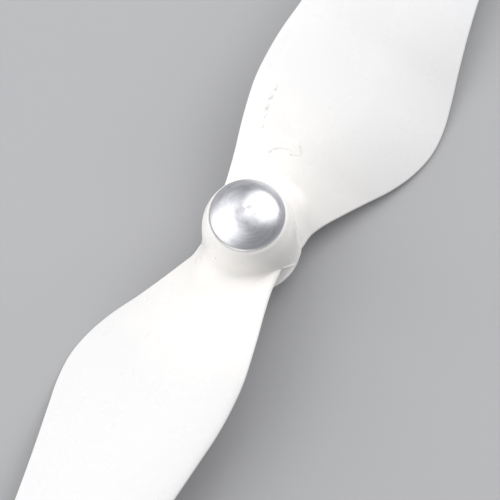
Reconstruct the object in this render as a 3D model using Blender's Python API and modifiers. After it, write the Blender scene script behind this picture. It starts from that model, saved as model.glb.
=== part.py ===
"""Two-blade self-tightening propeller: one plastic moulding with an aluminium dome nut in its hub.

The spin axis is +Z, and the propeller turns anticlockwise seen from above. Blade A lies along +X and
its leading edge faces +Y; blade B is the same shape half a turn away. The surface that the blades'
lowest edges touch is z = 0, and heights are worked out from the rim of the dome.
"""

import math

import bmesh
import bpy
import numpy as np
from mathutils import Matrix, Vector

MM = 0.001

# Driving sizes, in millimetres
DIAMETER = 239.0
RIM_HEIGHT = 18.77
GAP = 0.3

# Hub: flat under the nut's flange, a round shoulder that flares gently into the barrel, open below.
# Each point is a radius and its drop below the dome's rim.
HUB_PROFILE = (
    (6.55, 0.9),
    (6.8, 1.1),
    (7.15, 2.0),
    (7.5, 3.05),
    (7.8, 4.5),
    (7.95, 6.5),
    (8.05, 10.0),
    (8.2, 12.8),
    (8.45, 14.6),
)
HUB_DROP = 14.9
RIM_CHAMFER = 0.3
UNDERSIDE_RECESS = 0.8
SLEEVE_RADIUS = 5.8
WALL_INNER_RADIUS = 7.2
POCKET_DROP = 8.5
RIBS = 8
RIB_WIDTH = 1.0
CUT_BELOW = 3.0

# Dome nut: a domed flange, a hexagonal shank moulded into the hub, and a blind shaft bore
DOME_RADIUS = 6.4
DOME_HEIGHT = 3.0
FLANGE_THICKNESS = 0.6
SHANK_ACROSS_FLATS = 8.0
SHANK_DROP = 14.4
BORE_RADIUS = 3.05
BORE_TOP_DROP = 2.2
BORE_TIP = 1.2
BORE_CHAMFER = 0.35

# Blade A, root to tip: radius, chord, pitch in degrees, y of the leading edge,
# drop of the leading edge below the dome's rim, and greatest thickness
BLADE_STATIONS = (
    (3.0, 15.3, 19.9, 7.45, 9.8, 3.4),
    (8.0, 18.3, 20.3, 8.15, 8.45, 3.2),
    (12.0, 21.6, 21.0, 9.0, 8.0, 3.0),
    (16.0, 25.3, 21.8, 10.0, 7.4, 2.8),
    (20.0, 28.9, 21.6, 10.9, 7.0, 2.65),
    (25.0, 32.1, 20.8, 11.8, 6.9, 2.5),
    (30.0, 33.4, 20.0, 12.1, 7.1, 2.4),
    (35.0, 32.9, 19.4, 12.0, 7.3, 2.35),
    (40.0, 31.1, 18.4, 11.5, 7.5, 2.3),
    (45.0, 29.1, 16.8, 11.0, 7.6, 2.2),
    (50.0, 27.3, 15.5, 10.5, 7.7, 2.1),
    (60.0, 24.6, 14.1, 9.8, 7.8, 1.9),
    (75.0, 21.4, 12.4, 8.7, 8.0, 1.6),
    (90.0, 18.0, 10.9, 7.6, 8.3, 1.35),
    (105.0, 14.3, 9.7, 6.4, 8.6, 1.1),
    (119.5, 10.4, 8.8, 5.2, 8.9, 0.9),
)
CAMBER = 0.045
CAMBER_PEAK = 0.4
TRAILING_EDGE = 0.5
TIP_ROUND = 6.0
TIP_STEPS = (0.25, 0.5, 0.7, 0.85, 0.94, 0.985)
SPAN_STEP = 4.0
SECTION_STEPS = 10
TURN_STEPS = 64
BORE_STEPS = 32


def new_collection(name):
    collection = bpy.data.collections.new(name)
    bpy.context.scene.collection.children.link(collection)
    return collection


def new_material(name, colour, roughness, metallic):
    material = bpy.data.materials.new(name)
    material.use_nodes = True
    shader = material.node_tree.nodes["Principled BSDF"]
    shader.inputs["Base Color"].default_value = (*colour, 1.0)
    shader.inputs["Roughness"].default_value = roughness
    shader.inputs["Metallic"].default_value = metallic
    return material


def mesh_object(name, bm, collection):
    """An object in metres from a bmesh in millimetres."""
    mesh = bpy.data.meshes.new(name)
    bmesh.ops.transform(bm, matrix=Matrix.Scale(MM, 4), verts=bm.verts)
    bm.to_mesh(mesh)
    bm.free()
    mesh.shade_smooth()
    mesh.set_sharp_from_angle(angle=math.radians(35))
    thing = bpy.data.objects.new(name, mesh)
    collection.objects.link(thing)
    return thing


def turned(name, profile, steps, collection):
    """A solid of revolution about Z, from (radius, height) points listed top to bottom."""
    bm = bmesh.new()
    points = [bm.verts.new((radius, 0.0, height)) for radius, height in profile]
    for upper, lower in zip(points, points[1:]):
        bm.edges.new((upper, lower))
    thing = mesh_object(name, bm, collection)
    screw = thing.modifiers.new("turn", "SCREW")
    screw.axis = "Z"
    screw.angle = math.tau
    screw.steps = steps
    screw.render_steps = steps
    screw.use_merge_vertices = True
    screw.merge_threshold = 0.00001
    screw.use_smooth_shade = True
    return thing


def prism(name, sides, across_flats, bottom, top, collection):
    """A regular prism about Z, with one corner towards +X."""
    bm = bmesh.new()
    corner = across_flats / 2 / math.cos(math.pi / sides)
    bmesh.ops.create_cone(
        bm, cap_ends=True, segments=sides, radius1=corner, radius2=corner, depth=top - bottom
    )
    middle = Matrix.Translation((0.0, 0.0, (top + bottom) / 2))
    turn = Matrix.Rotation(math.pi / sides, 4, "Z")
    bmesh.ops.transform(bm, matrix=middle @ turn, verts=bm.verts)
    return mesh_object(name, bm, collection)


def combine(thing, tool, operation):
    boolean = thing.modifiers.new(tool.name, "BOOLEAN")
    boolean.operation = operation
    boolean.solver = "EXACT"
    boolean.object = tool
    tool.display_type = "WIRE"
    tool.hide_render = True


def height(drop):
    """The height above the resting surface of a point this far below the dome's rim."""
    return RIM_HEIGHT - drop


def station(radius):
    """The blade's chord, pitch, leading edge and thickness at a radius, on smooth curves."""
    table = np.array(BLADE_STATIONS)
    slopes = np.gradient(table, table[:, 0], axis=0)
    i = int(np.clip(np.searchsorted(table[:, 0], radius) - 1, 0, len(table) - 2))
    span = table[i + 1, 0] - table[i, 0]
    u = (radius - table[i, 0]) / span
    blend = (2 * u**3 - 3 * u**2 + 1) * table[i] + (3 * u**2 - 2 * u**3) * table[i + 1]
    lean = (u**3 - 2 * u**2 + u) * slopes[i] + (u**3 - u**2) * slopes[i + 1]
    return (blend + lean * span)[1:]


def thickness_at(s):
    """The share of the greatest thickness at a fraction s of the chord: round nose, thin tail."""
    return 2.969 * math.sqrt(s) - 1.260 * s - 3.516 * s**2 + 2.843 * s**3 - 1.015 * s**4


def camber_at(s):
    """The rise of the section's middle line above its chord, as a share of the chord."""
    if s < CAMBER_PEAK:
        return CAMBER * (2 * CAMBER_PEAK * s - s**2) / CAMBER_PEAK**2
    return CAMBER * (1 - 2 * CAMBER_PEAK + 2 * CAMBER_PEAK * s - s**2) / (1 - CAMBER_PEAK) ** 2


def section(radius):
    """One closed ring of points around the blade at a radius: over the top, back underneath."""
    chord, pitch, lead, drop, thickness = station(radius)
    beyond = max(0.0, (radius - (DIAMETER / 2 - TIP_ROUND)) / TIP_ROUND)
    width = math.sqrt(1.0 - beyond**2)
    back = Vector((0.0, -math.cos(math.radians(pitch)), -math.sin(math.radians(pitch))))
    up = Vector((0.0, -math.sin(math.radians(pitch)), math.cos(math.radians(pitch))))
    front = Vector((radius, lead, height(drop))) + back * (chord * (1.0 - width) / 2)
    chord *= width
    fractions = [(1 - math.cos(math.pi * i / SECTION_STEPS)) / 2 for i in range(SECTION_STEPS + 1)]
    rings = {}
    for side in (1, -1):
        points = []
        for s in fractions:
            depth = thickness * thickness_at(s) + min(TRAILING_EDGE, thickness) * s
            rise = chord * camber_at(s) + side * depth * width / 2
            points.append(front + back * (chord * s) + up * rise)
        rings[side] = points
    return rings[1] + rings[-1][:0:-1]


def blade(name, turn, collection):
    """A closed loft through the sections, turned about Z into its place."""
    body = np.arange(BLADE_STATIONS[0][0], DIAMETER / 2 - TIP_ROUND, SPAN_STEP)
    tip = [DIAMETER / 2 - TIP_ROUND * (1 - u) for u in TIP_STEPS]
    bm = bmesh.new()
    rings = []
    for radius in (*body, DIAMETER / 2 - TIP_ROUND, *tip):
        rings.append([bm.verts.new(point) for point in section(float(radius))])
    for inner, outer in zip(rings, rings[1:]):
        for i in range(len(inner)):
            j = (i + 1) % len(inner)
            bm.faces.new((inner[i], inner[j], outer[j], outer[i]))
    bm.faces.new(rings[0])
    bm.faces.new(rings[-1])
    bmesh.ops.recalc_face_normals(bm, faces=bm.faces)
    bmesh.ops.rotate(bm, matrix=Matrix.Rotation(turn, 3, "Z"), verts=bm.verts)
    return mesh_object(name, bm, collection)


def pocket(name, turn, collection):
    """A cutter for one of the hollows between the sleeve, the barrel wall and two ribs."""
    middle = (SLEEVE_RADIUS + WALL_INNER_RADIUS) / 2
    spread = math.tau / RIBS - RIB_WIDTH / middle
    bottom = height(HUB_DROP) - CUT_BELOW
    corners = (
        (SLEEVE_RADIUS, height(POCKET_DROP)),
        (WALL_INNER_RADIUS, height(POCKET_DROP)),
        (WALL_INNER_RADIUS, bottom),
        (SLEEVE_RADIUS, bottom),
    )
    bm = bmesh.new()
    face = bm.faces.new([bm.verts.new((radius, 0.0, z)) for radius, z in corners])
    bmesh.ops.rotate(bm, matrix=Matrix.Rotation(turn - spread / 2, 3, "Z"), verts=bm.verts)
    bmesh.ops.spin(
        bm, geom=[face, *face.edges, *face.verts], axis=(0, 0, 1), cent=(0, 0, 0), angle=spread, steps=6
    )
    bmesh.ops.recalc_face_normals(bm, faces=bm.faces)
    return mesh_object(name, bm, collection)


def blade_moulding(parts, cutters):
    """The one-piece plastic moulding: hub, both blades, the nut's socket and the cored underside."""
    top = height(HUB_PROFILE[0][1])
    bottom = height(HUB_DROP)
    outline = [(radius, height(drop)) for radius, drop in HUB_PROFILE]
    rim_radius = HUB_PROFILE[-1][0] - RIM_CHAMFER
    profile = [(0, top), *outline, (rim_radius, bottom), (0, bottom)]
    hub = turned("blade_moulding", profile, TURN_STEPS, parts)
    combine(hub, blade("blade_a", 0.0, cutters), "UNION")
    combine(hub, blade("blade_b", math.pi, cutters), "UNION")
    below = bottom - CUT_BELOW
    socket_width = SHANK_ACROSS_FLATS + 2 * GAP
    combine(hub, prism("socket", 6, socket_width, below, top + 1, cutters), "DIFFERENCE")
    step = bottom + UNDERSIDE_RECESS
    underside = turned(
        "underside_recess",
        [(0, step), (WALL_INNER_RADIUS, step), (WALL_INNER_RADIUS, below), (0, below)],
        TURN_STEPS,
        cutters,
    )
    combine(hub, underside, "DIFFERENCE")
    for i in range(RIBS):
        turn = math.tau * (i + 0.5) / RIBS
        combine(hub, pocket(f"pocket_{i}", turn, cutters), "DIFFERENCE")
    return hub


def dome_nut(parts, cutters):
    """The turned aluminium nut: dome, hexagonal shank and blind bore for the motor shaft."""
    sphere = (DOME_RADIUS**2 + DOME_HEIGHT**2) / (2 * DOME_HEIGHT)
    half_angle = math.asin(DOME_RADIUS / sphere)
    steps = 10
    dome = []
    for i in range(steps + 1):
        angle = half_angle * i / steps
        level = RIM_HEIGHT + DOME_HEIGHT - sphere * (1 - math.cos(angle))
        dome.append((sphere * math.sin(angle), level))
    underside = height(FLANGE_THICKNESS)
    profile = [*dome, (DOME_RADIUS, underside), (0, underside)]
    nut = turned("dome_nut", profile, TURN_STEPS, parts)
    shank_bottom = height(SHANK_DROP)
    shank_top = underside + FLANGE_THICKNESS / 2
    shank = prism("shank", 6, SHANK_ACROSS_FLATS, shank_bottom, shank_top, cutters)
    combine(nut, shank, "UNION")
    mouth = BORE_RADIUS + BORE_CHAMFER
    bore_profile = [
        (0, height(BORE_TOP_DROP - BORE_TIP)),
        (BORE_RADIUS, height(BORE_TOP_DROP)),
        (BORE_RADIUS, shank_bottom + BORE_CHAMFER),
        (mouth, shank_bottom),
        (mouth, shank_bottom - 1),
        (0, shank_bottom - 1),
    ]
    combine(nut, turned("shaft_bore", bore_profile, BORE_STEPS, cutters), "DIFFERENCE")
    return nut


def main():
    for thing in list(bpy.data.objects):
        bpy.data.objects.remove(thing, do_unlink=True)
    parts = new_collection("propeller")
    cutters = new_collection("cutters")
    plastic = new_material("white_plastic", (0.80, 0.80, 0.78), 0.35, 0.0)
    aluminium = new_material("turned_aluminium", (0.76, 0.76, 0.77), 0.28, 1.0)
    blade_moulding(parts, cutters).data.materials.append(plastic)
    dome_nut(parts, cutters).data.materials.append(aluminium)


main()
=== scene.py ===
"""Looks of a two-blade self-tightening propeller: a white moulding and a turned aluminium dome nut.

Lengths below are in millimetres, in the frame's axes: +Z is the spin axis, blade A lies along +X and its
leading edge faces +Y, and blade B is blade A turned half a turn about Z.
"""

import math

import bmesh
import bpy
import numpy as np
from mathutils import Matrix, Vector


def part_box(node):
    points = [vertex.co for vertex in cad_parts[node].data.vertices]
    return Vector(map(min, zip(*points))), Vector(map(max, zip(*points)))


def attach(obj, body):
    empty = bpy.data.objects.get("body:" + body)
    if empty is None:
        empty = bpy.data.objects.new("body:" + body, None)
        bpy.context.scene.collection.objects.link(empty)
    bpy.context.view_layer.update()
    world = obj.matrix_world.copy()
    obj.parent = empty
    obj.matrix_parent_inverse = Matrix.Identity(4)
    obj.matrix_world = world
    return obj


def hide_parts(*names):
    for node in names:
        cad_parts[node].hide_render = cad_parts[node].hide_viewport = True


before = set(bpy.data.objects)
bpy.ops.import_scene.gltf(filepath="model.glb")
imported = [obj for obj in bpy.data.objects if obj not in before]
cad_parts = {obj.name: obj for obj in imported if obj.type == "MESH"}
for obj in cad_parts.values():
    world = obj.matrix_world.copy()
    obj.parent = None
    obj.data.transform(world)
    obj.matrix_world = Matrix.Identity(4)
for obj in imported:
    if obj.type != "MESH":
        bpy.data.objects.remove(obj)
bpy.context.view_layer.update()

MM = 0.001

# Places that come from the frame
NUT_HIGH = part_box("dome_nut")[1] / MM
MOULDING_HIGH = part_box("blade_moulding")[1] / MM
DOME_RADIUS = NUT_HIGH.x
DOME_HEIGHT = 3.0
RIM_HEIGHT = NUT_HIGH.z - DOME_HEIGHT
TIP_RADIUS = MOULDING_HIGH.x

# Hub: a shoulder that rises to a flat under the nut's flange, and flares gently into the barrel.
# Each point is a radius and its drop below the dome's rim.
GAP = 0.12
HUB_PROFILE = np.array(
    (
        (6.62, 0.76),
        (6.78, 1.0),
        (7.13, 2.0),
        (7.47, 3.0),
        (7.77, 4.5),
        (7.95, 6.5),
        (8.05, 10.0),
        (8.2, 12.8),
        (8.5, 14.9),
    )
)
TOP_DROP = 0.72
TOP_ROUND = 0.08
HUB_DROP = 14.9
RIM_ROUND = 0.3
PARTING_STEP = 0.3
LIP_FLARE = 0.12
LIP_HEIGHT = 0.35
STEP_START = 0.08
PARTING_TURN = 29.0
PARTING_EVEN = 0.6
PARTING_DIP = 14
BEAD_START = 0.15
BEAD_TOP = 0.55
UNDER_BLADE = 0.45
STEP_FADE = 0.8
UNDERSIDE_RECESS = 0.8
SLEEVE_RADIUS = 5.8
WALL_INNER_RADIUS = 7.2
POCKET_DROP = 8.5
RIBS = 8
RIB_WIDTH = 1.0
CUT_BELOW = 3.0

# Nut
FLANGE_THICKNESS = 0.6
RIM_CHAMFER = 0.12
SHANK_ACROSS_FLATS = 8.0
SHANK_DROP = 14.4
BORE_RADIUS = 3.05
BORE_TOP_DROP = 2.2
BORE_TIP = 1.2
BORE_DEPTH = SHANK_DROP - BORE_TOP_DROP
BORE_CHAMFER = 0.35
THREAD_PITCH = 1.0
THREAD_DEPTH = 0.55
THREAD_START = 1.0
THREAD_ROOM = 1.5

# Blade A, root to tip: radius, chord, pitch in degrees, y of the leading edge,
# drop of the leading edge below the dome's rim, and greatest thickness
BLADE_STATIONS = np.array(
    (
        (2.0, 14.7, 19.5, 7.3, 10.0, 3.45),
        (3.0, 15.3, 19.9, 7.45, 9.8, 3.4),
        (8.0, 18.3, 20.3, 8.15, 8.45, 3.2),
        (12.0, 21.6, 21.0, 9.0, 8.0, 3.0),
        (16.0, 25.3, 21.8, 10.0, 7.4, 2.8),
        (20.0, 28.9, 21.6, 10.9, 7.0, 2.65),
        (25.0, 32.1, 20.8, 11.8, 6.9, 2.5),
        (30.0, 33.4, 20.0, 12.1, 7.1, 2.4),
        (35.0, 32.9, 19.4, 12.0, 7.3, 2.35),
        (40.0, 31.1, 18.4, 11.5, 7.5, 2.3),
        (45.0, 29.1, 16.8, 11.0, 7.6, 2.2),
        (50.0, 27.3, 15.5, 10.5, 7.7, 2.1),
        (60.0, 24.6, 14.1, 9.8, 7.8, 1.9),
        (75.0, 21.4, 12.4, 8.7, 8.0, 1.6),
        (90.0, 18.0, 10.9, 7.6, 8.3, 1.35),
        (105.0, 14.3, 9.7, 6.4, 8.6, 1.1),
        (119.5, 10.4, 8.8, 5.2, 8.9, 0.9),
    )
)
CAMBER = 0.045
CAMBER_PEAK = 0.4
EDGE_ROUND = 0.25
TIP_ROUND = 6.0

# Fillets between a blade and the barrel: on top at the chord's ends and what its middle adds, and below
FILLET_TOP = 1.4
FILLET_MIDDLE = 3.1
FILLET_BELOW = 0.9

# Where the trailing edge meets the barrel it is swept out, over a distance from the wall. Points nearer the
# wall than ROOT_HOLD are drawn back to their own distance from it.
ROOT_SWEEP = (-0.75, -0.55)
ROOT_REACH = 2.2
ROOT_HOLD = 1.5
ROOT_INSIDE = 2.1
ROOT_OUTSIDE = 10.5
ROOT_HALVINGS = 40

# Raised marks on a blade's top: a curved arrow for the turning sense, and a row of small dashes
MARK_RISE = 0.05
MARK_SUNK = 0.3
ARROW_CENTRE = (14.6, 0.6)
ARROW_OUTER = 3.2
ARROW_INNER = (3.0, 1.65)
ARROW_SWEEP = (100, -8)
ARROW_HEAD = (1.0, 3.7)
ARROW_TIP = (-46, 2.5)
ARROW_WIDEN = 1.8
ARROW_BLUNT = 0.97
DASHES = ((17.6, 6.6), (19.4, 7.1), (21.2, 7.45), (23.0, 7.7), (24.8, 7.75))
DASH_SIZE = (0.7, 0.3)
MARK_STEPS = 6

# Mesh steps, and the powers that draw rows together at the root and at the foot of the wall
CHORD_STEPS = 56
EDGE_STEPS = 5
ROOT_STEPS = 56
ROOT_END = 17.0
ROOT_POWER = 1.6
SPAN_STEPS = 96
TIP_STEPS = 14
WALL_STEPS = 52
WALL_POWER = 1.5
LOWER_STEPS = 24
RIM_STEPS = 5
GAP_STEPS = 48
COLUMN_TURN = 0.0015
TURN_STEPS = 192
BORE_STEPS = 96
DOME_STEPS = 64
POCKET_STEPS = 16
LEVEL_STEPS = 200
COINCIDENT = 2e-6
SHARP_DEGREES = 30

# Colours
# The warm, white and cool plastic tones paint shading by distance from the spin axis: painted light round
# the hub, painted shade further out.
PLASTIC_WARM_PAINTED_LIGHT = (0.93, 0.903, 0.87, 1.0)
PLASTIC_WHITE = (0.80, 0.792, 0.785, 1.0)
PLASTIC_COOL_PAINTED_SHADE = (0.785, 0.785, 0.795, 1.0)
PLASTIC_SHADE = (0.70, 0.69, 0.67, 1.0)
METAL_BRIGHT = (0.84, 0.84, 0.87, 1.0)
METAL_DULL = (0.45, 0.45, 0.49, 1.0)
FLOOR_LIGHT = (0.42, 0.42, 0.43, 1.0)
FLOOR_SHADE = (0.38, 0.38, 0.39, 1.0)

# Room: soft boxes that face the hub, each with its azimuth and elevation in degrees, its distance and
# size in metres and its power in watts
SOFT_BOXES = (
    ("soft_box_left", 130, 31, 1.2, 1.6, 13),
    ("soft_box_right", -24, 39, 1.2, 1.25, 12.5),
    ("overhead", 50, 76, 1.3, 0.8, 2),
    ("far_card", 72, 33, 1.3, 1.3, 2.5),
)
ROOM_TINT = (0.95, 0.97, 1.0, 1.0)
ROOM_STRENGTH = 0.35
FLOOR_SIZE = 6.0
FLOOR_LEVEL = -0.0002

# Camera: its place from the middle of the dome's rim, and its axes
CAMERA_AWAY = Vector((-259.48, -180.45, 808.39))
CAMERA_RIGHT = Vector((0.45926, -0.88689, -0.04994))
CAMERA_BACK = Vector((-0.29349, -0.20457, 0.93382))
LENS = 374.8


def height(drop):
    return RIM_HEIGHT - drop


def smoothstep(low, high, value):
    t = np.clip((value - low) / (high - low), 0.0, 1.0)
    return t * t * (3 - 2 * t)


def mesh_object(name, points, faces):
    """An object in metres from points in millimetres, with coincident points joined."""
    bm = bmesh.new()
    verts = [bm.verts.new(Vector(p) * MM) for p in points]
    for face in faces:
        bm.faces.new([verts[i] for i in face])
    bmesh.ops.remove_doubles(bm, verts=bm.verts, dist=COINCIDENT)
    bmesh.ops.recalc_face_normals(bm, faces=bm.faces)
    mesh = bpy.data.meshes.new(name)
    bm.to_mesh(mesh)
    bm.free()
    mesh.shade_smooth()
    mesh.set_sharp_from_angle(angle=math.radians(SHARP_DEGREES))
    thing = bpy.data.objects.new(name, mesh)
    bpy.context.scene.collection.objects.link(thing)
    return thing


# ---- Blade shape -------------------------------------------------------------------------------------


def station(radius):
    """Chord, pitch, leading edge y, its drop and the thickness at each radius, on smooth curves."""
    table = BLADE_STATIONS
    slopes = np.gradient(table, table[:, 0], axis=0)
    radius = np.asarray(radius, float)
    i = np.clip(np.searchsorted(table[:, 0], radius) - 1, 0, len(table) - 2)
    span = table[i + 1, 0] - table[i, 0]
    u = ((radius - table[i, 0]) / span)[:, None]
    blend = (2 * u**3 - 3 * u**2 + 1) * table[i] + (3 * u**2 - 2 * u**3) * table[i + 1]
    lean = (u**3 - 2 * u**2 + u) * slopes[i] + (u**3 - u**2) * slopes[i + 1]
    return (blend + lean * span[:, None])[:, 1:].T


def tip_width(radius):
    """How wide the rounded tip is at a radius, as a share of the chord there."""
    beyond = np.clip((radius - (TIP_RADIUS - TIP_ROUND)) / TIP_ROUND, 0.0, 1.0)
    return np.sqrt(1.0 - beyond**2)


def chord_fractions(chord):
    """Chord fractions from the trailing edge (1) to the leading edge (0), close together at both."""
    edge = EDGE_ROUND / chord
    around = np.linspace(0, math.pi / 2, EDGE_STEPS + 1)
    tail = [1 - edge + edge * math.cos(a) for a in around]
    nose = (1 - np.cos(np.linspace(math.pi, 0, CHORD_STEPS + 1))) / 2
    return np.array([*tail[:-1], *(nose * tail[-1])])


def blade_points(radius, fraction, side):
    """Points of the blade's skin at each radius and chord fraction, on top (+1) or below (-1)."""
    chord, pitch, lead, drop, thickness = station(radius)
    width = tip_width(radius)
    pitch = np.radians(pitch)
    edge = EDGE_ROUND / (chord * width + 1e-9)
    into_edge = np.clip((fraction - 1 + edge) / edge, 0, 1)
    s = fraction
    shape = 2.969 * np.sqrt(s) - 1.260 * s - 3.516 * s**2 + 2.843 * s**3 - 1.015 * s**4
    depth = (thickness * shape + 2 * EDGE_ROUND * np.sqrt(s) * s) * np.sqrt(1 - into_edge**2)
    depth *= width
    rise_front = CAMBER * (2 * CAMBER_PEAK * s - s**2) / CAMBER_PEAK**2
    rise_back = CAMBER * (1 - 2 * CAMBER_PEAK + 2 * CAMBER_PEAK * s - s**2) / (1 - CAMBER_PEAK) ** 2
    rise = chord * width * np.where(s < CAMBER_PEAK, rise_front, rise_back) + side * depth / 2
    along = chord * (0.5 + (s - 0.5) * width)
    y = lead - np.cos(pitch) * along - np.sin(pitch) * rise
    z = height(drop) - np.sin(pitch) * along + np.cos(pitch) * rise
    return np.stack([radius, y, z], axis=-1)


def barrel_radius(z):
    """The hub's outer radius at a height, on a smooth curve through its profile."""
    radius, drop = HUB_PROFILE.T
    slopes = np.gradient(radius, drop)
    down = np.clip(RIM_HEIGHT - np.asarray(z, float), drop[0], drop[-1])
    i = np.clip(np.searchsorted(drop, down) - 1, 0, len(drop) - 2)
    span = drop[i + 1] - drop[i]
    u = (down - drop[i]) / span
    blend = (2 * u**3 - 3 * u**2 + 1) * radius[i] + (3 * u**2 - 2 * u**3) * radius[i + 1]
    return blend + span * ((u**3 - 2 * u**2 + u) * slopes[i] + (u**3 - u**2) * slopes[i + 1])


def fillet_radius(fraction, side):
    """The blend between barrel and blade: large over the middle of the chord, none at its edges."""
    ends = smoothstep(0.0, 0.12, fraction) * smoothstep(0.0, 0.12, 1 - fraction)
    middle = smoothstep(0.2, 0.65, fraction) * smoothstep(0.0, 0.3, 1 - fraction)
    return ends * ((FILLET_TOP + FILLET_MIDDLE * middle) if side > 0 else FILLET_BELOW)


def root_radius(fraction, side):
    """The radius (x) at which the blade's skin meets the barrel, for each chord fraction."""
    low = np.full(len(fraction), ROOT_INSIDE)
    high = np.full(len(fraction), ROOT_OUTSIDE)
    for _ in range(ROOT_HALVINGS):
        middle = (low + high) / 2
        x, y, z = blade_points(middle, fraction, side).T
        inside = np.hypot(x, y) < barrel_radius(z)
        low = np.where(inside, middle, low)
        high = np.where(inside, high, middle)
    return high


def blade_skin(side):
    """A grid of points, root to tip by trailing to leading edge, of the blade's top or underside."""
    fractions = chord_fractions(station([12.0])[0][0])
    start = root_radius(fractions, side)
    steps = np.linspace(0, 1, ROOT_STEPS + 1) ** ROOT_POWER
    rows = []
    for step in steps:
        radius = start + (ROOT_END - start) * step
        points = blade_points(radius, fractions, side)
        away = np.hypot(points[:, 0], points[:, 1]) - barrel_radius(points[:, 2])
        blend = fillet_radius(fractions, side) + 1e-9
        inward = np.clip(1 - away / blend, 0, 1)
        points[:, 2] += side * blend * (1 - np.sqrt(1 - inward**2))
        near = np.clip(1 - away / ROOT_REACH, 0, 1) ** 2 * smoothstep(0.6, 1.0, fractions)
        points[:, :2] += np.outer(near, ROOT_SWEEP)
        wall = (barrel_radius(points[:, 2]) + away) / np.hypot(points[:, 0], points[:, 1])
        hold = np.clip(1 - away / ROOT_HOLD, 0, 1) ** 2
        points[:, :2] *= 1 + ((wall - 1) * hold)[:, None]
        rows.append(points)
    body = np.linspace(ROOT_END, TIP_RADIUS - TIP_ROUND, SPAN_STEPS + 1)[1:]
    curl = np.sin(np.linspace(0, math.pi / 2, TIP_STEPS + 1))[1:-1]
    for radius in (*body, *(TIP_RADIUS - TIP_ROUND + TIP_ROUND * curl)):
        rows.append(blade_points(np.full(len(fractions), radius), fractions, side))
    return np.array(rows)


# ---- Moulding ----------------------------------------------------------------------------------------


class Sheet:
    """Points and faces gathered from grids, for one half of the moulding."""

    def __init__(self):
        self.points = []
        self.faces = []

    def grid(self, rows, flip=False):
        """Adds a grid of points with a face in each cell."""
        rows = np.asarray(rows, float)
        base = len(self.points)
        count, width = rows.shape[:2]
        self.points.extend(rows.reshape(-1, 3))
        index = base + np.arange(count * width).reshape(count, width)
        for i in range(count - 1):
            for j in range(width - 1):
                face = (index[i, j], index[i, j + 1], index[i + 1, j + 1], index[i + 1, j])
                self.faces.append(face[::-1] if flip else face)


def on_barrel(angle, z, inset=0.0):
    radius = barrel_radius(z) - inset
    return np.stack([radius * np.cos(angle), radius * np.sin(angle), z], axis=-1)


def parting_line(start, end):
    """The moulding's parting line round the barrel, from a blade's leading edge to the next blade's
    trailing edge: it falls away in an S until it reaches the rim, and follows the rim from there."""
    angles = np.linspace(start[0], end[0], GAP_STEPS + 1)
    turned = np.degrees(angles - start[0])
    lowest = height(HUB_DROP) + RIM_ROUND
    fall = PARTING_EVEN * np.clip(turned / PARTING_TURN, 0, 1)
    fall += (1 - PARTING_EVEN) * smoothstep(0, PARTING_TURN, turned)
    z = start[1] + (lowest - start[1]) * fall
    dip = smoothstep(turned[-1] - PARTING_DIP, turned[-1], turned)
    z = z + (end[1] - lowest) * dip
    return angles, z


def moulding_half():
    """The half of the moulding that holds blade A, from its trailing edge to blade B's."""
    sheet = Sheet()
    top = blade_skin(1)
    below = blade_skin(-1)
    sheet.grid(top, flip=True)
    sheet.grid(below)
    sheet.grid([top[-1], below[-1]], flip=True)

    def polar(points):
        return np.arctan2(points[:, 1], points[:, 0]), points[:, 2]

    top_angles, top_z = polar(top[0])
    low_angles, low_z = polar(below[0])
    leading = (top_angles[-1], top_z[-1])
    trailing = (top_angles[0] + math.pi, top_z[0])
    gap_angles, gap_z = parting_line(leading, trailing)

    edge = height(HUB_DROP) + RIM_ROUND
    share = smoothstep(BEAD_TOP, 2 * BEAD_TOP, gap_z - edge)
    step = PARTING_STEP * smoothstep(0, STEP_START, gap_angles - gap_angles[0]) * share
    flare = LIP_FLARE * step / PARTING_STEP
    outer = on_barrel(gap_angles, gap_z, -flare)
    inner = on_barrel(gap_angles, gap_z, step)
    sheet.grid([outer, inner])

    collar_angles = np.concatenate([top_angles, gap_angles[1:]])
    collar_z = np.concatenate([top_z, gap_z[1:]])
    shoulder = height(HUB_PROFILE[0][1])
    least = COLUMN_TURN * np.arange(len(collar_angles))
    upright = np.maximum.accumulate(collar_angles - least) + least
    rows = []
    flare = np.concatenate([np.zeros(len(top_angles)), flare[1:]])
    for t in np.linspace(0, 1, WALL_STEPS + 1) ** WALL_POWER:
        z = collar_z + (shoulder - collar_z) * t
        fade = 1 - smoothstep(0, LIP_HEIGHT, z - collar_z)
        rows.append(on_barrel(upright if t > 0 else collar_angles, z, -flare * fade))
    rows.append(on_barrel(upright, np.full(len(collar_angles), shoulder), TOP_ROUND))
    rows[-1][:, 2] = height(TOP_DROP)
    sheet.grid(rows)
    centre = np.array([(0.0, 0.0, height(TOP_DROP))] * len(collar_angles))
    sheet.grid([rows[-1], centre])

    rim_angles = np.concatenate([low_angles, gap_angles[1:]])
    rim_z = np.concatenate([low_z, gap_z[1:]])
    inset = np.concatenate([np.zeros(len(low_angles)), step[1:]])
    share = np.concatenate([smoothstep(-UNDER_BLADE, 0, low_angles - low_angles[-1]), share[1:]])
    rows = []
    for t in np.linspace(0, 1, LOWER_STEPS + 1):
        z = rim_z + (np.minimum(edge, rim_z) - rim_z) * t
        bead = np.where(t > 0, smoothstep(BEAD_START, BEAD_TOP, z - edge), 1.0)
        sunk = np.maximum(inset, PARTING_STEP * share * smoothstep(0, STEP_FADE, rim_z - z))
        rows.append(on_barrel(rim_angles, z, sunk * bead))
    last = rows[-1]
    for a in np.linspace(0, math.pi / 2, RIM_STEPS + 1)[1:]:
        ring = last.copy()
        reach = 1 - RIM_ROUND * (1 - math.cos(a)) / HUB_PROFILE[-1][0]
        ring[:, :2] *= reach
        ring[:, 2] -= RIM_ROUND * math.sin(a)
        rows.append(ring)
    centre = np.array([(0.0, 0.0, height(HUB_DROP))] * len(rim_angles))
    rows.append(centre)
    sheet.grid(rows, flip=True)
    return sheet


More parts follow.
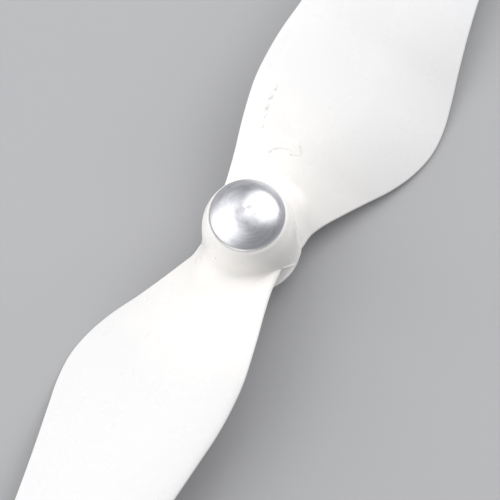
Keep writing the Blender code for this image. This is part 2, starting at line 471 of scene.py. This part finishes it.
def top_level(x, y):
    """The height of blade A's top above a place in plan."""
    fractions = np.linspace(0, 1, LEVEL_STEPS + 1)
    points = blade_points(np.full(len(fractions), x), fractions, 1)
    return float(np.interp(y, points[::-1, 1], points[::-1, 2]))


def raised(name, rows):
    """A thin raised shape that follows blade A's top, from rows of places in plan."""
    levels = np.array([[top_level(x, y) for x, y in row] for row in rows])
    upper = np.dstack([rows, levels + MARK_RISE])
    lower = np.dstack([rows, levels - MARK_SUNK])
    sheet = Sheet()
    sheet.grid(upper)
    sheet.grid(lower, flip=True)
    sheet.grid([upper[0], lower[0]], flip=True)
    sheet.grid([upper[-1], lower[-1]])
    sheet.grid([upper[:, 0], lower[:, 0]])
    sheet.grid([upper[:, -1], lower[:, -1]], flip=True)
    return mesh_object(name, sheet.points, sheet.faces)


def arrow_rows():
    """The curved arrow in plan: a band that widens along its arc, and then its head."""
    def across(degrees, inner, outer):
        turn = math.radians(degrees)
        reach = np.linspace(inner, outer, MARK_STEPS + 1)
        x = ARROW_CENTRE[0] + reach * math.cos(turn)
        y = ARROW_CENTRE[1] + reach * math.sin(turn)
        return np.stack([x, y], axis=-1)

    rows = []
    for t in np.linspace(0, 1, 4 * MARK_STEPS + 1):
        degrees = ARROW_SWEEP[0] + (ARROW_SWEEP[1] - ARROW_SWEEP[0]) * t
        inner = ARROW_INNER[0] + (ARROW_INNER[1] - ARROW_INNER[0]) * min(1, ARROW_WIDEN * t)
        rows.append(across(degrees, inner, ARROW_OUTER))
    base = across(ARROW_SWEEP[1] - 1, *ARROW_HEAD)
    tip = across(ARROW_TIP[0], ARROW_TIP[1], ARROW_TIP[1])
    for t in np.linspace(0, 1, MARK_STEPS + 1):
        rows.append(base + (tip - base) * t * ARROW_BLUNT)
    return np.array(rows)


def dash_rows(x, y):
    """One small dash in plan."""
    steps = np.linspace(-0.5, 0.5, 3)
    return np.array([[(x + u * DASH_SIZE[0], y + v * DASH_SIZE[1]) for v in steps] for u in steps])


def moulding():
    """The whole moulding: both halves joined, then hollowed for the nut and cored from below."""
    half = moulding_half()
    points = np.array(half.points)
    other = points * np.array((-1.0, -1.0, 1.0))
    faces = half.faces + [tuple(i + len(points) for i in face) for face in half.faces]
    thing = mesh_object("moulding", np.concatenate([points, other]), faces)
    bottom = height(HUB_DROP)
    below = bottom - CUT_BELOW
    cut(thing, prism("socket", SHANK_ACROSS_FLATS + 2 * GAP, below, RIM_HEIGHT))
    step = bottom + UNDERSIDE_RECESS
    inner = WALL_INNER_RADIUS
    cut(thing, turned("underside", [(0, step), (inner, step), (inner, below), (0, below)]))
    for i in range(RIBS):
        cut(thing, pocket(f"pocket_{i}", math.tau * (i + 0.5) / RIBS))
    combine(thing, raised("arrow", arrow_rows()), "UNION")
    for x, y in DASHES:
        combine(thing, raised("dash", dash_rows(x, y)), "UNION")
    return thing


# ---- Turned pieces and cuts --------------------------------------------------------------------------


def turned(name, profile, steps=TURN_STEPS):
    """A solid of revolution about Z, from (radius, height) points listed top to bottom."""
    angles = [math.tau * i / steps for i in range(steps)]
    points = [(r * math.cos(a), r * math.sin(a), z) for a in angles for r, z in profile]
    count = len(profile)
    faces = []
    for i in range(steps):
        here, there = i * count, (i + 1) % steps * count
        for j in range(count - 1):
            faces.append((here + j, here + j + 1, there + j + 1, there + j))
    return mesh_object(name, points, faces)


def prism(name, across_flats, bottom, top):
    """A hexagonal prism about Z, with a corner towards +X."""
    corner = across_flats / 2 / math.cos(math.pi / 6)
    ring = [(corner * math.cos(math.tau * i / 6), corner * math.sin(math.tau * i / 6)) for i in range(6)]
    points = [(x, y, z) for z in (bottom, top) for x, y in ring]
    sides = [(i, (i + 1) % 6, (i + 1) % 6 + 6, i + 6) for i in range(6)]
    return mesh_object(name, points, [*sides, tuple(range(5, -1, -1)), tuple(range(6, 12))])


def pocket(name, turn):
    """A cutter for one hollow between the sleeve, the barrel wall and two ribs."""
    middle = (SLEEVE_RADIUS + WALL_INNER_RADIUS) / 2
    spread = math.tau / RIBS - RIB_WIDTH / middle
    low, high = height(HUB_DROP) - CUT_BELOW, height(POCKET_DROP)
    inner, outer = SLEEVE_RADIUS, WALL_INNER_RADIUS
    corners = ((inner, low), (outer, low), (outer, high), (inner, high))
    points = []
    for i in range(POCKET_STEPS + 1):
        angle = turn + spread * (i / POCKET_STEPS - 0.5)
        points.extend((r * math.cos(angle), r * math.sin(angle), z) for r, z in corners)
    faces = [(0, 1, 2, 3), tuple(4 * POCKET_STEPS + i for i in (3, 2, 1, 0))]
    for i in range(POCKET_STEPS):
        for j in range(4):
            k = (j + 1) % 4
            faces.append((4 * i + j, 4 * i + k, 4 * i + 4 + k, 4 * i + 4 + j))
    return mesh_object(name, points, faces)


def combine(thing, tool, operation):
    """Applies a Boolean with a tool, which is then removed."""
    boolean = thing.modifiers.new("boolean", "BOOLEAN")
    boolean.operation = operation
    boolean.solver = "MANIFOLD"
    boolean.object = tool
    graph = bpy.context.evaluated_depsgraph_get()
    mesh = bpy.data.meshes.new_from_object(thing.evaluated_get(graph), depsgraph=graph)
    thing.modifiers.clear()
    thing.data = mesh
    bpy.data.objects.remove(tool)


def cut(thing, tool):
    combine(thing, tool, "DIFFERENCE")


def dome_nut():
    """The aluminium nut: dome with a fine rim chamfer, hexagonal shank and threaded blind bore."""
    sphere = (DOME_RADIUS**2 + DOME_HEIGHT**2) / (2 * DOME_HEIGHT)
    half_angle = math.asin((DOME_RADIUS - RIM_CHAMFER) / sphere)
    profile = []
    for i in range(DOME_STEPS + 1):
        angle = half_angle * i / DOME_STEPS
        level = RIM_HEIGHT + DOME_HEIGHT - sphere * (1 - math.cos(angle))
        profile.append((sphere * math.sin(angle), level))
    underside = height(FLANGE_THICKNESS)
    profile.append((DOME_RADIUS, height(RIM_CHAMFER)))
    profile.extend([(DOME_RADIUS, underside), (0, underside)])
    nut = turned("nut", profile)
    shank_bottom = height(SHANK_DROP)
    shank = prism("shank", SHANK_ACROSS_FLATS, shank_bottom, underside + FLANGE_THICKNESS / 2)
    combine(nut, shank, "UNION")
    bore = [(0, height(BORE_TOP_DROP - BORE_TIP)), (BORE_RADIUS - THREAD_DEPTH, height(BORE_TOP_DROP))]
    turns = int((BORE_DEPTH - THREAD_ROOM) / THREAD_PITCH)
    level = height(BORE_TOP_DROP) - THREAD_START
    for _ in range(turns):
        bore.append((BORE_RADIUS - THREAD_DEPTH, level))
        bore.append((BORE_RADIUS, level - THREAD_PITCH / 2))
        level -= THREAD_PITCH
    bore.append((BORE_RADIUS - THREAD_DEPTH, level))
    mouth = BORE_RADIUS + BORE_CHAMFER
    bore.append((BORE_RADIUS - THREAD_DEPTH, shank_bottom + BORE_CHAMFER + THREAD_DEPTH))
    bore.extend([(mouth, shank_bottom), (mouth, shank_bottom - 1), (0, shank_bottom - 1)])
    cut(nut, turned("bore", bore, BORE_STEPS))
    return nut


# ---- Materials ---------------------------------------------------------------------------------------


class Nodes:
    """A material's node tree, with short ways to add and join nodes."""

    def __init__(self, name):
        self.material = bpy.data.materials.new(name)
        self.material.use_nodes = True
        self.tree = self.material.node_tree
        self.shader = self.tree.nodes["Principled BSDF"]
        self.place = self.add("ShaderNodeTexCoord").outputs["Object"]

    def add(self, kind, **settings):
        node = self.tree.nodes.new(kind)
        for key, value in settings.items():
            setattr(node, key, value)
        return node

    def join(self, source, target):
        self.tree.links.new(source, target)

    def put(self, value, socket):
        if isinstance(value, bpy.types.NodeSocket):
            self.join(value, socket)
        else:
            socket.default_value = value

    def math(self, operation, *values):
        node = self.add("ShaderNodeMath", operation=operation)
        for value, socket in zip(values, node.inputs):
            self.put(value, socket)
        return node.outputs[0]

    def noise(self, vector, scale, detail=4.0, roughness=0.55):
        node = self.add("ShaderNodeTexNoise")
        self.join(vector, node.inputs["Vector"])
        node.inputs["Scale"].default_value = scale
        node.inputs["Detail"].default_value = detail
        node.inputs["Roughness"].default_value = roughness
        return node.outputs["Fac"]

    def spread(self, value, low, high, to_low, to_high):
        node = self.add("ShaderNodeMapRange")
        node.interpolation_type = "SMOOTHSTEP"
        for key, number in zip(
            ("Value", "From Min", "From Max", "To Min", "To Max"), (value, low, high, to_low, to_high)
        ):
            self.put(number, node.inputs[key])
        return node.outputs[0]

    def mix(self, share, first, second):
        node = self.add("ShaderNodeMix", data_type="RGBA")
        self.put(share, node.inputs[0])
        self.put(first, node.inputs[6])
        self.put(second, node.inputs[7])
        return node.outputs[2]

    def bump(self, level, distance, strength):
        node = self.add("ShaderNodeBump")
        node.inputs["Strength"].default_value = strength
        node.inputs["Distance"].default_value = distance
        self.join(level, node.inputs["Height"])
        return node.outputs["Normal"]

    def axes(self):
        node = self.add("ShaderNodeSeparateXYZ")
        self.join(self.place, node.inputs[0])
        return node.outputs

    def away_from_axis(self):
        """The distance from the spin axis, in metres."""
        x, y, _ = self.axes()
        return self.math("SQRT", self.math("ADD", self.math("POWER", x, 2.0), self.math("POWER", y, 2.0)))


def plastic():
    """Glossy white moulded plastic, with painted shading: lighter and warmer round the hub, darker and
    cooler further out.
    """
    nodes = Nodes("white_plastic")
    shader = nodes.shader
    reach = nodes.away_from_axis()
    cloud = nodes.noise(nodes.place, 55.0, 3.0)
    # Painted shading: the plastic is painted lighter and warmer near the hub and darker and cooler further
    # out, by distance from the spin axis.
    outward = nodes.math("ADD", reach, nodes.spread(cloud, 0.3, 0.7, -0.003, 0.003))
    tint = nodes.mix(nodes.spread(outward, 0.006, 0.032, 0.0, 1.0), PLASTIC_WARM_PAINTED_LIGHT, PLASTIC_WHITE)
    tint = nodes.mix(nodes.spread(outward, 0.035, 0.075, 0.0, 1.0), tint, PLASTIC_COOL_PAINTED_SHADE)
    grain = nodes.noise(nodes.place, 420.0, 5.0)
    tint = nodes.mix(nodes.spread(grain, 0.35, 0.75, 0.0, 0.03), tint, PLASTIC_SHADE)
    nodes.join(tint, shader.inputs["Base Color"])
    handled = nodes.noise(nodes.place, 140.0, 4.0)
    nodes.join(nodes.spread(handled, 0.3, 0.7, 0.24, 0.36), shader.inputs["Roughness"])
    nodes.join(nodes.bump(grain, 0.000004, 0.08), shader.inputs["Normal"])
    shader.inputs["Subsurface Weight"].default_value = 0.15
    shader.inputs["Subsurface Radius"].default_value = (1.0, 0.95, 0.88)
    shader.inputs["Subsurface Scale"].default_value = 0.0012
    shader.inputs["IOR"].default_value = 1.47
    return nodes.material


def aluminium():
    """Bright turned aluminium: fine concentric tool marks that spread its reflections radially."""
    nodes = Nodes("turned_aluminium")
    shader = nodes.shader
    reach = nodes.away_from_axis()
    x, y, _ = nodes.axes()
    angle = nodes.math("ARCTAN2", y, x)

    def rings(across, along, detail, roughness):
        place = nodes.add("ShaderNodeCombineXYZ")
        nodes.join(nodes.math("MULTIPLY", reach, across), place.inputs[0])
        nodes.join(nodes.math("MULTIPLY", nodes.math("SINE", angle), along), place.inputs[1])
        nodes.join(nodes.math("MULTIPLY", nodes.math("COSINE", angle), along), place.inputs[2])
        return nodes.noise(place.outputs[0], 1.0, detail, roughness)

    marks = rings(9000.0, 1.2, 4.0, 0.7)
    bands = rings(1500.0, 2.5, 3.0, 0.6)
    stain = nodes.noise(nodes.place, 900.0, 5.0)
    tint = nodes.mix(nodes.spread(marks, 0.35, 0.7, 0.0, 0.5), METAL_BRIGHT, METAL_DULL)
    tint = nodes.mix(nodes.spread(stain, 0.5, 0.75, 0.0, 0.35), tint, METAL_DULL)
    nodes.join(tint, shader.inputs["Base Color"])
    nodes.join(nodes.spread(bands, 0.3, 0.7, 0.31, 0.38), shader.inputs["Roughness"])
    nodes.join(nodes.bump(marks, 0.00001, 0.5), shader.inputs["Normal"])
    around = nodes.add("ShaderNodeTangent", direction_type="RADIAL", axis="Z")
    nodes.join(around.outputs[0], shader.inputs["Tangent"])
    shader.inputs["Metallic"].default_value = 1.0
    shader.inputs["Anisotropic"].default_value = 0.8
    return nodes.material


def floor_paint():
    nodes = Nodes("studio_floor")
    mottle = nodes.noise(nodes.place, 6.0, 3.0)
    nodes.join(nodes.mix(mottle, FLOOR_LIGHT, FLOOR_SHADE), nodes.shader.inputs["Base Color"])
    nodes.shader.inputs["Roughness"].default_value = 0.7
    return nodes.material


# ---- Stage -------------------------------------------------------------------------------------------


def add_floor():
    bpy.ops.mesh.primitive_plane_add(size=FLOOR_SIZE, location=(0, 0, FLOOR_LEVEL))
    floor = bpy.context.object
    floor.name = "floor"
    floor.data.materials.append(floor_paint())


def add_light(name, azimuth, elevation, distance, size, power):
    """A square soft box that faces the hub."""
    light = bpy.data.lights.new(name, "AREA")
    light.size = size
    light.energy = power
    thing = bpy.data.objects.new(name, light)
    bpy.context.scene.collection.objects.link(thing)
    around, up = math.radians(azimuth), math.radians(elevation)
    away = Vector((math.cos(around) * math.cos(up), math.sin(around) * math.cos(up), math.sin(up)))
    thing.location = away * distance
    thing.rotation_euler = away.to_track_quat("Z", "Y").to_euler()
    thing.visible_camera = False


def add_camera():
    camera = bpy.data.cameras.new("camera")
    camera.lens = LENS
    camera.clip_start = 0.01
    camera.clip_end = 20
    thing = bpy.data.objects.new("camera", camera)
    bpy.context.scene.collection.objects.link(thing)
    right, back = CAMERA_RIGHT.normalized(), CAMERA_BACK.normalized()
    up = back.cross(right)
    turn = Matrix((right, up, back)).transposed().to_4x4()
    place = (CAMERA_AWAY + Vector((0, 0, RIM_HEIGHT))) * MM
    thing.matrix_world = Matrix.Translation(place) @ turn
    bpy.context.scene.camera = thing


def add_world():
    world = bpy.data.worlds.new("studio")
    bpy.context.scene.world = world
    world.use_nodes = True
    background = world.node_tree.nodes["Background"]
    background.inputs["Color"].default_value = ROOM_TINT
    background.inputs["Strength"].default_value = ROOM_STRENGTH


def main():
    bpy.context.scene.view_settings.view_transform = "Standard"
    add_camera()
    add_floor()
    add_world()
    for box in SOFT_BOXES:
        add_light(*box)
    body = moulding()
    body.data.materials.clear()
    body.data.materials.append(plastic())
    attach(body, "root")
    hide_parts("blade_moulding")
    nut = dome_nut()
    nut.data.materials.clear()
    nut.data.materials.append(aluminium())
    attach(nut, "root")
    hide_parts("dome_nut")


main()
